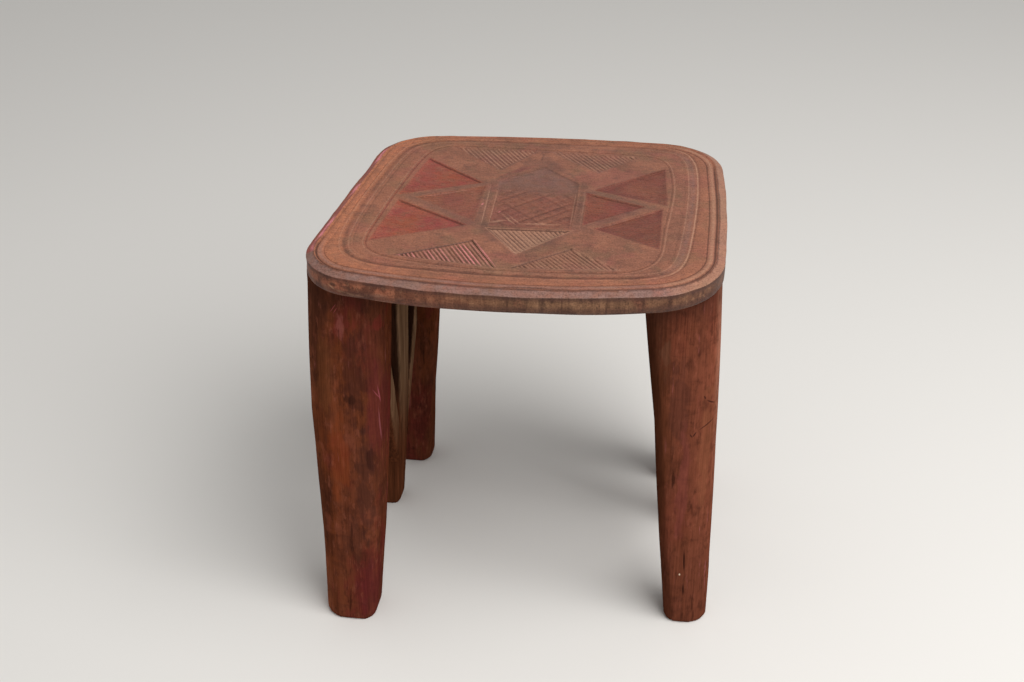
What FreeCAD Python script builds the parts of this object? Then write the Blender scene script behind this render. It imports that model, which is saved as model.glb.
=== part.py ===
# Low side table carved from one block of hardwood, with the grain standing upright.
# A thick rounded-square top with a sunk pattern rests on four tapered corner legs. On each
# side a middle leg stands between them, with two braces fanning out from it as they rise.
# Frame: +Z up, the front faces -Y, millimetres. The origin is on the floor, under the
# middle of the table. It was carved by eye, so no two corners or legs are quite alike.
import math
import os
import FreeCAD, Part
import Sketcher

doc = FreeCAD.newDocument("side_table")
sheet = doc.addObject("Spreadsheet::Sheet", "Sizes")
filled_rows = []

# Heights above the floor, and the middle of the table as it was measured.
heights = {
    "table_height": 400,
    "top_thickness": 22,
    "foot_level": 0,
    "shin_level": 100,
    "knee_level": 240,
    "shoulder_level": 105,
    "front_root_level": 50,
    "back_root_level": 90,
    "back_end_level": 260,
    "table_middle_x": 3,
    "table_middle_y": -11.41,
}

# The top: x, y and radius of each corner, taken where the bowed sides would meet before
# the corner is rounded, the bow radius of the side that follows it, and the edge bevels.
top_corners = {
    "front_left": {"x": -193.5, "y": -169, "round": 58, "bow": 625},
    "front_right": {"x": 188, "y": -157, "round": 77, "bow": 1980},
    "back_right": {"x": 177, "y": 167, "round": 68, "bow": 1420},
    "back_left": {"x": -171, "y": 148, "round": 62, "bow": 15000},
}
top_edges = {"rim_width": 8.5, "rim_drop": 3, "lower_bevel": 2}

# The sunk pattern of the top: ten triangles around a tall five-sided field and the triangle
# in front of it. Each floor is deepest at the corner called back and rises to the front one.
floor_depths = {"floor_deep": 1.8, "floor_shallow": 0.4}
sunk_shapes = {
    "left_back": {
        "back": {"x": -118, "y": 89.5}, "front": {"x": -131, "y": -0.5}, "inner": {"x": -56, "y": 35.5},
    },
    "left_middle": {
        "back": {"x": -52, "y": 25.5}, "outer": {"x": -109, "y": -6.5}, "front": {"x": -50, "y": -55.5},
    },
    "left_front": {
        "back": {"x": -128, "y": -14.5}, "front": {"x": -137, "y": -108.5}, "inner": {"x": -58, "y": -64.5},
    },
    "right_back": {
        "back": {"x": 124, "y": 95.5}, "inner": {"x": 58, "y": 33.5}, "front": {"x": 131, "y": 9.5},
    },
    "right_middle": {
        "back": {"x": 51, "y": 25.5}, "front": {"x": 55, "y": -47.5}, "outer": {"x": 110, "y": 1.5},
    },
    "right_front": {
        "back": {"x": 127, "y": -1.5}, "inner": {"x": 66, "y": -54.5}, "front": {"x": 129, "y": -88.5},
    },
    "back_left": {
        "back": {"x": -93, "y": 124.5}, "front": {"x": -40, "y": 67.5}, "inner": {"x": -7, "y": 124.5},
    },
    "back_right": {
        "back": {"x": 99, "y": 124.5}, "inner": {"x": 7, "y": 124.5}, "front": {"x": 57, "y": 74.5},
    },
    "front_left": {
        "back": {"x": -42, "y": -91.5}, "outer": {"x": -106, "y": -133.5}, "front": {"x": -11, "y": -147.5},
    },
    "front_right": {
        "back": {"x": 50, "y": -95.5}, "front": {"x": 1, "y": -145.5}, "outer": {"x": 95, "y": -136.5},
    },
    "middle_front": {
        "back": {"x": 47, "y": -60.5}, "outer": {"x": -35, "y": -65.5}, "front": {"x": 1, "y": -117.5},
    },
    "middle": {
        "back": {"x": 3, "y": 85.5}, "left": {"x": -39, "y": 42.5}, "front": {"x": -32, "y": -61.5},
        "right_front": {"x": 44, "y": -57.5}, "right": {"x": 42, "y": 46.5},
    },
}

# The corner legs: where the four faces stand at each level, and the corner radii there.
# The outer corner is the broad one, under the round of the top.
leg_rounds = {
    "foot": {"outer": 22, "inner": 13},
    "shin": {"outer": 24, "inner": 13},
    "knee": {"outer": 26, "inner": 13},
    "head": {"outer": 28, "inner": 13},
}
corner_legs = {
    "front_left_leg": {
        "foot": {"left": -187, "right": -137, "front": -171, "back": -123},
        "shin": {"left": -188, "right": -127, "front": -170, "back": -118},
        "knee": {"left": -191, "right": -119, "front": -168, "back": -109},
        "head": {"left": -187, "right": -115, "front": -159, "back": -99},
    },
    "front_right_leg": {
        "foot": {"left": 156, "right": 197, "front": -128, "back": -85},
        "shin": {"left": 145, "right": 196, "front": -130, "back": -83},
        "knee": {"left": 134, "right": 193, "front": -136, "back": -79},
        "head": {"left": 118, "right": 186, "front": -138, "back": -73},
    },
    "back_right_leg": {
        "foot": {"left": 138, "right": 179, "front": 117, "back": 160},
        "shin": {"left": 131, "right": 179, "front": 113, "back": 160},
        "knee": {"left": 121, "right": 177, "front": 107, "back": 157},
        "head": {"left": 112, "right": 173, "front": 100, "back": 153},
    },
    "back_left_leg": {
        "foot": {"left": -174, "right": -135, "front": 115, "back": 155},
        "shin": {"left": -174, "right": -129, "front": 111, "back": 154},
        "knee": {"left": -172, "right": -118, "front": 104, "back": 150},
        "head": {"left": -166, "right": -108, "front": 90, "back": 142},
    },
}

# The middle legs, flat-sided under the top's side edges, given in the same way. Their
# corners, and those of the braces, are taken off in a flat bevel.
flat_bevels = {"middle_bevel": 4, "brace_bevel": 3}
middle_legs = {
    "left_middle_leg": {
        "foot": {"left": -175, "right": -152, "front": 28, "back": 60},
        "shoulder": {"left": -175, "right": -145, "front": 31, "back": 66},
        "head": {"left": -173, "right": -138, "front": 6, "back": 78},
    },
    "right_middle_leg": {
        "foot": {"left": 160, "right": 183, "front": 28, "back": 60},
        "shoulder": {"left": 153, "right": 183, "front": 31, "back": 66},
        "head": {"left": 146, "right": 182, "front": 6, "back": 78},
    },
}

# The braces: each grows out of a middle leg's flank. The front one rises to the top just
# behind the front leg, and the back one runs into the front of the back leg.
braces = {
    "left_front_brace": {
        "front_root": {"left": -172, "right": -150, "front": 31, "back": 56},
        "head": {"left": -171, "right": -139.5, "front": -97, "back": -72},
    },
    "left_back_brace": {
        "back_root": {"left": -164, "right": -146, "front": 52, "back": 64},
        "back_end": {"left": -162, "right": -138, "front": 110, "back": 138},
    },
    "right_front_brace": {
        "front_root": {"left": 158, "right": 180, "front": 31, "back": 56},
        "head": {"left": 147.5, "right": 180, "front": -71, "back": -46},
    },
    "right_back_brace": {
        "back_root": {"left": 154, "right": 171, "front": 52, "back": 64},
        "back_end": {"left": 147, "right": 169, "front": 113, "back": 142},
    },
}
brace_neighbours = {
    "left_front_brace": ("left_middle_leg",),
    "left_back_brace": ("left_middle_leg", "back_left_leg"),
    "right_front_brace": ("right_middle_leg",),
    "right_back_brace": ("right_middle_leg", "back_right_leg"),
}


def put_size(name, value):
    """Give one size a row of the sheet and an alias."""
    row = len(filled_rows) + 1
    sheet.set(f"A{row}", name)
    sheet.set(f"B{row}", str(value))
    sheet.setAlias(f"B{row}", name)
    filled_rows.append(name)


def put_nested(stem, values):
    """Write a group of sizes, joining the names of its levels with underscores."""
    for key, value in values.items():
        name = f"{stem}_{key}" if stem else key
        if isinstance(value, dict):
            put_nested(name, value)
        else:
            put_size(name, value)


for stem, group in (
    ("", heights),
    ("corner", top_corners),
    ("", top_edges),
    ("", floor_depths),
    ("sunk", sunk_shapes),
    ("round", leg_rounds),
    ("", corner_legs),
    ("", flat_bevels),
    ("", middle_legs),
    ("", braces),
):
    put_nested(stem, group)
doc.recompute()

UNDERSIDE = "Sizes.table_height - Sizes.top_thickness"
CORNER_SIGNS = ((-1, -1), (1, -1), (1, 1), (-1, 1))
QUARTER_TURN = math.pi / 2


def size(name):
    return float(sheet.get(name))


def new_body(name):
    """A body that stands in the table's frame, with the origin under the table's middle."""
    body = doc.addObject("PartDesign::Body", name)
    body.Label = name
    body.setExpression("Placement.Base.x", "-Sizes.table_middle_x")
    body.setExpression("Placement.Base.y", "-Sizes.table_middle_y")
    return body


def level_sketch(body, name, height):
    """A level sketch of a body, raised to the given height."""
    sketch = body.newObject("Sketcher::SketchObject", name)
    plane = next(item for item in body.Origin.OriginFeatures if item.Role == "XY_Plane")
    sketch.AttachmentSupport = [(plane, "")]
    sketch.MapMode = "FlatFace"
    sketch.setExpression("AttachmentOffset.Base.z", height)
    return sketch


def bind(sketch, kind, ends, value, formula):
    """Add a dimension to a sketch and tie it to the sheet."""
    index = sketch.addConstraint(Sketcher.Constraint(kind, *ends, value))
    sketch.setExpression(f"Constraints[{index}]", formula)


def bind_reach(sketch, axis, sign, geometry, value, formula):
    """Fix how far the start of a line or arc lies from the origin, on the side sign names."""
    ends = (-1, 1, geometry, 1) if sign > 0 else (geometry, 1, -1, 1)
    bind(sketch, f"Distance{axis}", ends, value, formula)


def cornered_section(sketch, stem, corner_sizes, rounded):
    """Draw the section whose four faces the sheet gives under stem.

    corner_sizes names the radius, or the bevel, at the front-left, front-right, back-right
    and back-left corners.
    """
    half_wide = (size(f"{stem}_right") - size(f"{stem}_left")) / 2
    half_deep = (size(f"{stem}_back") - size(f"{stem}_front")) / 2
    wide_formula = f"(Sizes.{stem}_right - Sizes.{stem}_left) / 2"
    deep_formula = f"(Sizes.{stem}_back - Sizes.{stem}_front) / 2"
    sketch.setExpression("AttachmentOffset.Base.x", f"(Sizes.{stem}_right + Sizes.{stem}_left) / 2")
    sketch.setExpression("AttachmentOffset.Base.y", f"(Sizes.{stem}_back + Sizes.{stem}_front) / 2")
    corners = [FreeCAD.Vector(half_wide * x, half_deep * y, 0) for x, y in CORNER_SIGNS]
    for index, corner in enumerate(corners):
        side = 2 * index
        turn = side + 1
        end = corners[(index + 1) % 4]
        end_size = corner_sizes[(index + 1) % 4]
        end_reach = size(end_size)
        run = (end - corner).normalize()
        across = FreeCAD.Vector(-run.y, run.x, 0)
        stop = end - run * end_reach
        sketch.addGeometry(Part.LineSegment(corner + run * size(corner_sizes[index]), stop))
        sketch.addConstraint(Sketcher.Constraint("Vertical" if index % 2 else "Horizontal", side))
        if rounded:
            circle = Part.Circle(stop + across * end_reach, FreeCAD.Vector(0, 0, 1), end_reach)
            first = (index - 1) * QUARTER_TURN
            sketch.addGeometry(Part.ArcOfCircle(circle, first, first + QUARTER_TURN))
            bind(sketch, "Radius", (turn,), end_reach, f"Sizes.{end_size}")
        else:
            sketch.addGeometry(Part.LineSegment(stop, end + across * end_reach))
            slant = run + across
            for axis, sign in (("X", slant.x), ("Y", slant.y)):
                ends = (turn, 1, turn, 2) if sign > 0 else (turn, 2, turn, 1)
                bind(sketch, f"Distance{axis}", ends, end_reach, f"Sizes.{end_size}")
    meeting = "Tangent" if rounded else "Coincident"
    for piece in range(8):
        sketch.addConstraint(Sketcher.Constraint(meeting, piece, 2, (piece + 1) % 8, 1))
    bind_reach(sketch, "Y", -1, 0, half_deep, deep_formula)
    bind_reach(sketch, "X", 1, 2, half_wide, wide_formula)
    bind_reach(sketch, "Y", 1, 4, half_deep, deep_formula)
    bind_reach(sketch, "X", -1, 6, half_wide, wide_formula)


def tapered_body(name, levels, corners_at, rounded):
    """A tapered member: straight stretches through its sections, from the lowest level up."""
    body = new_body(name)
    sections = []
    for level in levels:
        height = UNDERSIDE if level == "head" else f"Sizes.{level}_level"
        sketch = level_sketch(body, f"{name}_{level}", height)
        cornered_section(sketch, f"{name}_{level}", corners_at(level), rounded)
        sections.append(sketch)
    taper = body.newObject("PartDesign::AdditiveLoft", f"{name}_taper")
    taper.Profile = sections[0]
    taper.Sections = sections[1:]
    taper.Ruled = True
    doc.recompute()
    return body


def edges_where(feature, test):
    return [f"Edge{number}" for number, edge in enumerate(feature.Shape.Edges, 1) if test(edge)]


def dress(body, kind, name, test, sizes, **settings):
    """Round or bevel those edges of the body's last feature that pass a test."""
    base = body.Tip
    feature = body.newObject(f"PartDesign::{kind}", name)
    feature.Base = (base, edges_where(base, test))
    for setting, value in settings.items():
        setattr(feature, setting, value)
    for dimension, formula in sizes.items():
        feature.setExpression(dimension, formula)
    doc.recompute()


def flat_at(level):
    """A test for edges that lie at one height."""
    return lambda edge: all(abs(vertex.Z - level) < 0.01 for vertex in edge.Vertexes)


def upright_at(x, y):
    """A test for the upright edge at one corner of the outline."""
    return lambda edge: all(math.hypot(vertex.X - x, vertex.Y - y) < 1 for vertex in edge.Vertexes)


def sink_shape(body, name):
    """Sink one shape of the pattern into the top, with a floor that falls towards its back."""
    stem = f"sunk_{name}"
    drop = "(Sizes.floor_deep - Sizes.floor_shallow)"
    fall = f"{drop} / (Sizes.{stem}_back_y - Sizes.{stem}_front_y)"
    height = f"Sizes.table_height - Sizes.floor_shallow + Sizes.{stem}_front_y * {fall}"
    floor = level_sketch(body, f"{stem}_floor", height)
    floor.AttachmentOffset = FreeCAD.Placement(FreeCAD.Vector(), FreeCAD.Rotation(FreeCAD.Vector(-1, 0, 0), 1))
    floor.setExpression("AttachmentOffset.Rotation.Angle", f"atan({fall})")
    corners = list(sunk_shapes[name])
    points = [FreeCAD.Vector(size(f"{stem}_{corner}_x"), size(f"{stem}_{corner}_y"), 0) for corner in corners]
    for index, point in enumerate(points):
        floor.addGeometry(Part.LineSegment(point, points[(index + 1) % len(points)]))
    for index, corner in enumerate(corners):
        floor.addConstraint(Sketcher.Constraint("Coincident", (index - 1) % len(points), 2, index, 1))
        for axis, reach in (("X", points[index].x), ("Y", points[index].y)):
            formula = f"abs(Sizes.{stem}_{corner}_{axis.lower()})"
            bind_reach(floor, axis, reach, index, abs(reach), formula)
    pocket = body.newObject("PartDesign::Pocket", stem)
    pocket.Profile = floor
    pocket.Reversed = True
    pocket.setExpression("Length", "Sizes.top_thickness")
    doc.recompute()


def make_top():
    """The top: bowed sides, its own round at each corner, edge bevels and the sunk pattern."""
    body = new_body("table_top")
    outline = level_sketch(body, "top_outline", UNDERSIDE)
    names = list(top_corners)
    points = [FreeCAD.Vector(size(f"corner_{name}_x"), size(f"corner_{name}_y"), 0) for name in names]
    for index, name in enumerate(names):
        start = points[index]
        stop = points[(index + 1) % 4]
        half_chord = (stop - start) / 2
        outward = FreeCAD.Vector(half_chord.y, -half_chord.x, 0).normalize()
        bow = size(f"corner_{name}_bow")
        rise = bow - math.sqrt(bow ** 2 - half_chord.Length ** 2)
        outline.addGeometry(Part.Arc(start, start + half_chord + outward * rise, stop))
    for index, name in enumerate(names):
        sign_x, sign_y = CORNER_SIGNS[index]
        outline.addConstraint(Sketcher.Constraint("Coincident", (index - 1) % 4, 2, index, 1))
        for axis, sign, reach in (("X", sign_x, points[index].x), ("Y", sign_y, points[index].y)):
            formula = f"abs(Sizes.corner_{name}_{axis.lower()})"
            bind_reach(outline, axis, sign, index, abs(reach), formula)
        bind(outline, "Radius", (index,), size(f"corner_{name}_bow"), f"Sizes.corner_{name}_bow")
    board = body.newObject("PartDesign::Pad", "top_board")
    board.Profile = outline
    board.setExpression("Length", "Sizes.top_thickness")
    doc.recompute()
    for name, point in zip(names, points):
        corner = upright_at(point.x, point.y)
        dress(body, "Fillet", f"top_round_{name}", corner, {"Radius": f"Sizes.corner_{name}_round"})
    upper = size("table_height")
    lower = upper - size("top_thickness")
    rim = {"Size": "Sizes.rim_drop", "Size2": "Sizes.rim_width"}
    dress(body, "Chamfer", "top_rim", flat_at(upper), rim, ChamferType="Two distances")
    dress(body, "Chamfer", "top_lower_edge", flat_at(lower), {"Size": "Sizes.lower_bevel"})
    for name in sunk_shapes:
        sink_shape(body, name)
    return body


def make_corner_leg(name):
    """A corner leg: it tapers to the foot, and its outer corner is rounded like the top's."""
    ends = name.split("_")
    outer = (1 if "right" in ends else -1, 1 if "back" in ends else -1)

    def rounds_at(level):
        return [f"round_{level}_{'outer' if signs == outer else 'inner'}" for signs in CORNER_SIGNS]

    return tapered_body(name, corner_legs[name], rounds_at, rounded=True)


def make_middle_leg(name):
    """A middle leg: narrow at the foot, and wide from front to back where it meets the top."""
    return tapered_body(name, middle_legs[name], lambda level: ["middle_bevel"] * 4, rounded=False)


def make_brace(name):
    """A brace: its ends run into what it meets, and are cut back to those surfaces."""
    piece = tapered_body(name, braces[name], lambda level: ["brace_bevel"] * 4, rounded=False)
    for neighbour in brace_neighbours[name]:
        piece.Label = f"{name}_long_{neighbour}"
        cut = doc.addObject("Part::Cut", f"{name}_fit")
        cut.Base = piece
        cut.Tool = members[neighbour]
        cut.Label = name
        doc.recompute()
        piece = cut
    return piece


members = {"table_top": make_top()}
for leg_name in corner_legs:
    members[leg_name] = make_corner_leg(leg_name)
for leg_name in middle_legs:
    members[leg_name] = make_middle_leg(leg_name)
for brace_name in braces:
    members[brace_name] = make_brace(brace_name)

faults = [item.Name for item in doc.Objects if {"Invalid", "Error"} & set(item.State)]
for name, member in members.items():
    shape = member.Shape
    if shape.isNull() or not shape.isValid() or len(shape.Solids) != 1:
        faults.append(name)
    print(f"{name:20s} solids {len(shape.Solids)}  volume {shape.Volume / 1000:8.1f} cm3")
if faults:
    raise SystemExit(f"not written, these failed: {faults}")

os.makedirs("parts", exist_ok=True)
for name, member in members.items():
    member.Shape.exportStep(f"parts/{name}.step")
whole = Part.makeCompound([member.Shape for member in members.values()]).optimalBoundingBox(False, False)
print(f"overall {whole.XLength:.1f} x {whole.YLength:.1f} x {whole.ZLength:.1f} mm")
print(f"centre x {whole.Center.x:.2f}  y {whole.Center.y:.2f}")
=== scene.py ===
import math
import bpy
import numpy as np
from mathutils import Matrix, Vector, noise
from mathutils.geometry import delaunay_2d_cdt


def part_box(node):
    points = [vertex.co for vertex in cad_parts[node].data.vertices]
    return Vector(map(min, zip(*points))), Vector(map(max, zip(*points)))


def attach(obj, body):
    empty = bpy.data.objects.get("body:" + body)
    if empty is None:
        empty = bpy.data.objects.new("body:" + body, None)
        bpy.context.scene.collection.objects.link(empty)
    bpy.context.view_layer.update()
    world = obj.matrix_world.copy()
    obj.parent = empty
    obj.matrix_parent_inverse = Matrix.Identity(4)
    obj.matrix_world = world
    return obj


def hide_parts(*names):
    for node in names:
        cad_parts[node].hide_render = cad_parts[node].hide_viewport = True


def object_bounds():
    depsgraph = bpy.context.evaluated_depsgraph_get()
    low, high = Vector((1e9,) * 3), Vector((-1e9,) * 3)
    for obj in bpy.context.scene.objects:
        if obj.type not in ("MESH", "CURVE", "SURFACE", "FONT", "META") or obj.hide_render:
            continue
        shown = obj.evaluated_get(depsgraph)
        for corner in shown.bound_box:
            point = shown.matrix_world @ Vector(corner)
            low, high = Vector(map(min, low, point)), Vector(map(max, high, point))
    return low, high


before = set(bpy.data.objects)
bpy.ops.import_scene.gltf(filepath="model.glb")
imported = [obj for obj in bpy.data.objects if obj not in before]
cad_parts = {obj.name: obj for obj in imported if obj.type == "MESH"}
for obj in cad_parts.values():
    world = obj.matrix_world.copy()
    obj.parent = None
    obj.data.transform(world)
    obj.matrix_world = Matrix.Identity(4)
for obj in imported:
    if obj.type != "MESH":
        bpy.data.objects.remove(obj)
cad_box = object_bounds()


# Corner legs
# Four tapered legs, carved in one with the top out of a single block of hardwood, with the
# grain standing upright. Each is hewn in long flats, rubbed down, and stained dark red.
corner_legs = ("front_left_leg", "front_right_leg", "back_right_leg", "back_left_leg")
weld_distance = 0.00002


def solid_copy(node, name):
    """A merged copy of one solid of the frame, alone in the selection, to be carved further."""
    bpy.ops.object.select_all(action="DESELECT")
    piece = bpy.data.objects.new(name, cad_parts[node].data.copy())
    bpy.context.collection.objects.link(piece)
    bpy.context.view_layer.objects.active = piece
    piece.select_set(True)
    piece.data.materials.clear()
    bpy.ops.object.mode_set(mode="EDIT")
    bpy.ops.mesh.select_all(action="SELECT")
    bpy.ops.mesh.remove_doubles(threshold=weld_distance)
    bpy.ops.object.mode_set(mode="OBJECT")
    return piece


def apply_modifier(piece, kind, **settings):
    """Add a modifier to the active piece, set it, and make it part of the mesh."""
    modifier = piece.modifiers.new(kind.lower(), kind)
    for key, value in settings.items():
        setattr(modifier, key, value)
    bpy.ops.object.modifier_apply(modifier=modifier.name)


def shave(piece, depth_at):
    """Take the surface down along its normals by the depth that depth_at gives at each point."""
    cuts = [(vertex, vertex.normal.copy()) for vertex in piece.data.vertices]
    for vertex, normal in cuts:
        vertex.co -= normal * depth_at(vertex.co, normal)
    piece.data.update()


swells_per_metre = Vector((32, 32, 7))
flats_per_metre = Vector((45, 45, 13))


def tool_marks(point, seed):
    """Long shallow flats that a blade leaves along the grain, about 0 on crests, 1 in hollows."""
    swell = noise.noise(point * swells_per_metre + Vector((seed, 0, 0)))
    nearest, second = noise.voronoi(point * flats_per_metre + Vector((0, seed, 0)))[0][:2]
    return 0.5 + 0.35 * swell - 0.3 * min(second - nearest, 0.5)


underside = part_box("table_top")[0][2]
leg_grid = 0.0018
leg_hewing = 0.0012
leg_tuck = 0.008
leg_bends = (0.100, 0.240)
bend_reach = 0.07
bend_easing = 0.0004
head_start = 0.20
head_length = 0.14
head_spread = 0.0017
foot_length = 0.07
foot_spread = 0.0014
worn_height = 0.06
sole_height = 0.0008


def part_way(value, start, length):
    """How far a value has come from a start along a length: 0 before it, 1 beyond it."""
    return np.clip((value - start) / length, 0, 1)


def easing(z):
    """A little off the leg where its taper changes, so that the outline runs on smoothly."""
    return sum(bend_easing * max(0, 1 - abs(z - bend) / bend_reach) ** 2 for bend in leg_bends)


def spread(point, normal):
    """How far a leg's outer flats stand out at its head, towards the board's edge, and its foot."""
    outwards = (point.x * normal.x + point.y * normal.y) / math.hypot(point.x, point.y)
    rise = part_way(point.z, head_start, head_length)
    at_head = max(0, outwards) * rise * rise * (3 - 2 * rise)
    return head_spread * at_head + foot_spread * max(0, 1 - point.z / foot_length)


def carved_member(node, seed, grid, hewing):
    """A leg or brace: its solid on an even grid, worn round, hewn, its head run up into the board."""
    piece = solid_copy(node, "carved_" + node)
    apply_modifier(piece, "REMESH", mode="VOXEL", voxel_size=grid)
    apply_modifier(piece, "SMOOTH", factor=0.5, iterations=2)
    worn = piece.vertex_groups.new(name="worn_foot")
    for vertex in piece.data.vertices:
        worn.add([vertex.index], max(0, 1 - vertex.co.z / worn_height), "REPLACE")
    apply_modifier(piece, "SMOOTH", factor=0.5, iterations=20, vertex_group="worn_foot")
    piece.vertex_groups.clear()

    def hewn(point, normal):
        off = hewing * (tool_marks(point, seed) - 0.5) + easing(point.z)
        if node in corner_legs:
            off -= spread(point, normal)
        return off * (1 - abs(normal.z))

    shave(piece, hewn)
    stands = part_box(node)[0][2] < sole_height
    for vertex in piece.data.vertices:
        if stands and vertex.co.z < sole_height:
            vertex.co.z = 0
        if vertex.co.z > underside - leg_tuck:
            vertex.co.z += leg_tuck
        vertex.co.x = min(max(vertex.co.x, cad_box[0][0]), cad_box[1][0])
    piece.data.update()
    bpy.ops.object.shade_smooth_by_angle(angle=math.radians(45))
    return piece


def stain(red, green, blue):
    """A tone, given on a 0 to 255 screen scale, as a colour in linear light."""
    tones = [value / 255 for value in (red, green, blue)]
    return [t / 12.92 if t <= 0.04045 else ((t + 0.055) / 1.055) ** 2.4 for t in tones] + [1]


def add_node(tree, kind, inputs=None, **settings):
    """Add a shader node, set it, and link or fill its inputs."""
    item = tree.nodes.new("ShaderNode" + kind)
    for key, value in settings.items():
        setattr(item, key, value)
    for key, value in (inputs or {}).items():
        if isinstance(value, bpy.types.NodeSocket):
            tree.links.new(value, item.inputs[key])
        else:
            item.inputs[key].default_value = value
    return item


def ramp(tree, factor, *stops):
    """A colour that runs through the stops, each a place from 0 to 1 and a tone."""
    item = add_node(tree, "ValToRGB", {"Fac": factor})
    elements = item.color_ramp.elements
    while len(elements) < len(stops):
        elements.new(0.5)
    for element, (place, colour) in zip(elements, stops):
        element.position = place
        element.color = stain(*colour)
    return item.outputs["Color"]


def blend(tree, factor, under, over, mode="MIX"):
    """One colour laid over another, which may also be a plain tone."""
    over = stain(*over) if isinstance(over, tuple) else over
    inputs = {0: factor, 6: under, 7: over}
    return add_node(tree, "Mix", inputs, data_type="RGBA", blend_type=mode).outputs[2]


def calc(tree, operation, first, second=0.0):
    """A sum, product or other figure from two values, kept between 0 and 1."""
    item = add_node(tree, "Math", {0: first, 1: second}, operation=operation, use_clamp=True)
    return item.outputs["Value"]


def between(tree, value, low, high):
    """0 below low, 1 above high, and a soft step between."""
    inputs = {"Value": value, "From Min": low, "From Max": high}
    return add_node(tree, "MapRange", inputs, interpolation_type="SMOOTHSTEP").outputs["Result"]


def times(tree, *values):
    """The product of several masks or values."""
    product = values[0]
    for value in values[1:]:
        product = calc(tree, "MULTIPLY", product, value)
    return product


def washed(tree, colour, mask, share, tone):
    """A colour with a tone laid over it where the mask is, as strongly as the share."""
    return blend(tree, times(tree, mask, share), colour, tone)


def new_wood(name):
    """A material, its tree and shader, the places on a piece, and those and its facing by axis."""
    material = bpy.data.materials.new(name)
    material.use_nodes = True
    tree = material.node_tree
    given = add_node(tree, "TexCoord").outputs
    spot = add_node(tree, "SeparateXYZ", {"Vector": given["Object"]}).outputs
    facing = add_node(tree, "SeparateXYZ", {"Vector": given["Normal"]}).outputs
    return material, tree, tree.nodes["Principled BSDF"], given["Object"], spot, facing


def varied_roughness(tree, shader, pattern, at_low, at_high):
    """Let the roughness change with a pattern, from its value at the low end to that at the high."""
    inputs = {"Value": pattern, "From Min": 0.3, "From Max": 0.7, "To Min": at_low, "To Max": at_high}
    varied = add_node(tree, "MapRange", inputs)
    tree.links.new(varied.outputs["Result"], shader.inputs["Roughness"])


def rough_surface(tree, shader, height, distance, strength):
    """Let a height pattern show in the surface."""
    inputs = {"Height": height, "Distance": distance, "Strength": strength}
    bump = add_node(tree, "Bump", inputs)
    tree.links.new(bump.outputs["Normal"], shader.inputs["Normal"])


def group_tree(name, vectors, floats, result):
    """An empty node group, with what it is given and the place for its result."""
    tree = bpy.data.node_groups.new(name, "ShaderNodeTree")
    for socket in vectors:
        tree.interface.new_socket(socket, in_out="INPUT", socket_type="NodeSocketVector")
    for socket in floats:
        tree.interface.new_socket(socket, in_out="INPUT", socket_type="NodeSocketFloat")
    tree.interface.new_socket(result, in_out="OUTPUT", socket_type="NodeSocketFloat")
    given = tree.nodes.new("NodeGroupInput").outputs
    return tree, given, tree.nodes.new("NodeGroupOutput").inputs[result]


def drawn_noise_group():
    """Noise over a piece, drawn out upright where the third figure of its stretch is small."""
    vectors = ("Vector", "Shift", "Stretch")
    tree, given, result = group_tree("drawn_noise", vectors, ("Scale", "Detail"), "Noise")
    moved = add_node(tree, "Mapping", {
        "Vector": given["Vector"], "Location": given["Shift"], "Scale": given["Stretch"],
    })
    pattern = add_node(tree, "TexNoise", {
        "Vector": moved.outputs["Vector"], "Scale": given["Scale"], "Detail": given["Detail"],
        "Roughness": 0.6,
    })
    tree.links.new(pattern.outputs["Fac"], result)
    return tree


drawn_noise_tree = drawn_noise_group()
streak_grain = (70, 0.07, 5)
fibre_grain = (520, 0.022, 3)


def drawn_noise(tree, place, scale, drawn_out, detail, shift=(0, 0, 0)):
    """Drawn-out noise over a piece that is being coloured."""
    return add_node(tree, "Group", {
        "Vector": place, "Shift": shift, "Stretch": (1, 1, drawn_out), "Scale": scale, "Detail": detail,
    }, node_tree=drawn_noise_tree).outputs["Noise"]


def patches(tree, place, scale, drawn_out, detail, shift, low, high):
    """Patches cut out of drawn-out noise: none of it below low, all of it above high."""
    return between(tree, drawn_noise(tree, place, scale, drawn_out, detail, shift), low, high)


def patched(tree, place, colour, rows, *limits):
    """Colour with patches: scale, drawing out, detail, shift, low, high, share and tone of each."""
    for scale, drawn_out, detail, shift, low, high, share, tone in rows:
        patch = patches(tree, place, scale, drawn_out, detail, shift, low, high)
        colour = washed(tree, colour, times(tree, patch, *limits), share, tone)
    return colour


def smudge_group():
    """A smudge or scratch at one place: 1 in its middle, 0 beyond its ragged edge."""
    tree, given, result = group_tree("smudge", ("Vector", "Centre", "Turn", "Sizes"), ("Ragged",), "Share")
    seat = add_node(tree, "Mapping", {
        "Vector": given["Vector"], "Location": given["Centre"], "Rotation": given["Turn"],
        "Scale": given["Sizes"],
    }, vector_type="TEXTURE")
    reach = add_node(tree, "VectorMath", {0: seat.outputs["Vector"]}, operation="LENGTH")
    torn = drawn_noise(tree, given["Vector"], 130, 0.4, 6)
    tear = add_node(tree, "Math", {0: torn, 1: 0.5}, operation="SUBTRACT")
    uneven = add_node(tree, "Math", {
        0: tear.outputs["Value"], 1: given["Ragged"], 2: reach.outputs["Value"],
    }, operation="MULTIPLY_ADD")
    tree.links.new(between(tree, uneven.outputs["Value"], 1.0, 0.4), result)
    return tree


smudge_tree = smudge_group()


def smudged(tree, place, colour, marks):
    """Colour with smudges: centre, sizes, slant in degrees, raggedness, share and tone of each."""
    for centre, sizes, slant, ragged, share, tone in marks:
        laid = add_node(tree, "Group", {
            "Vector": place, "Centre": centre, "Sizes": sizes,
            "Turn": (0, -math.radians(slant), 0), "Ragged": ragged,
        }, node_tree=smudge_tree).outputs["Share"]
        colour = washed(tree, colour, laid, share, tone)
    return colour


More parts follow.
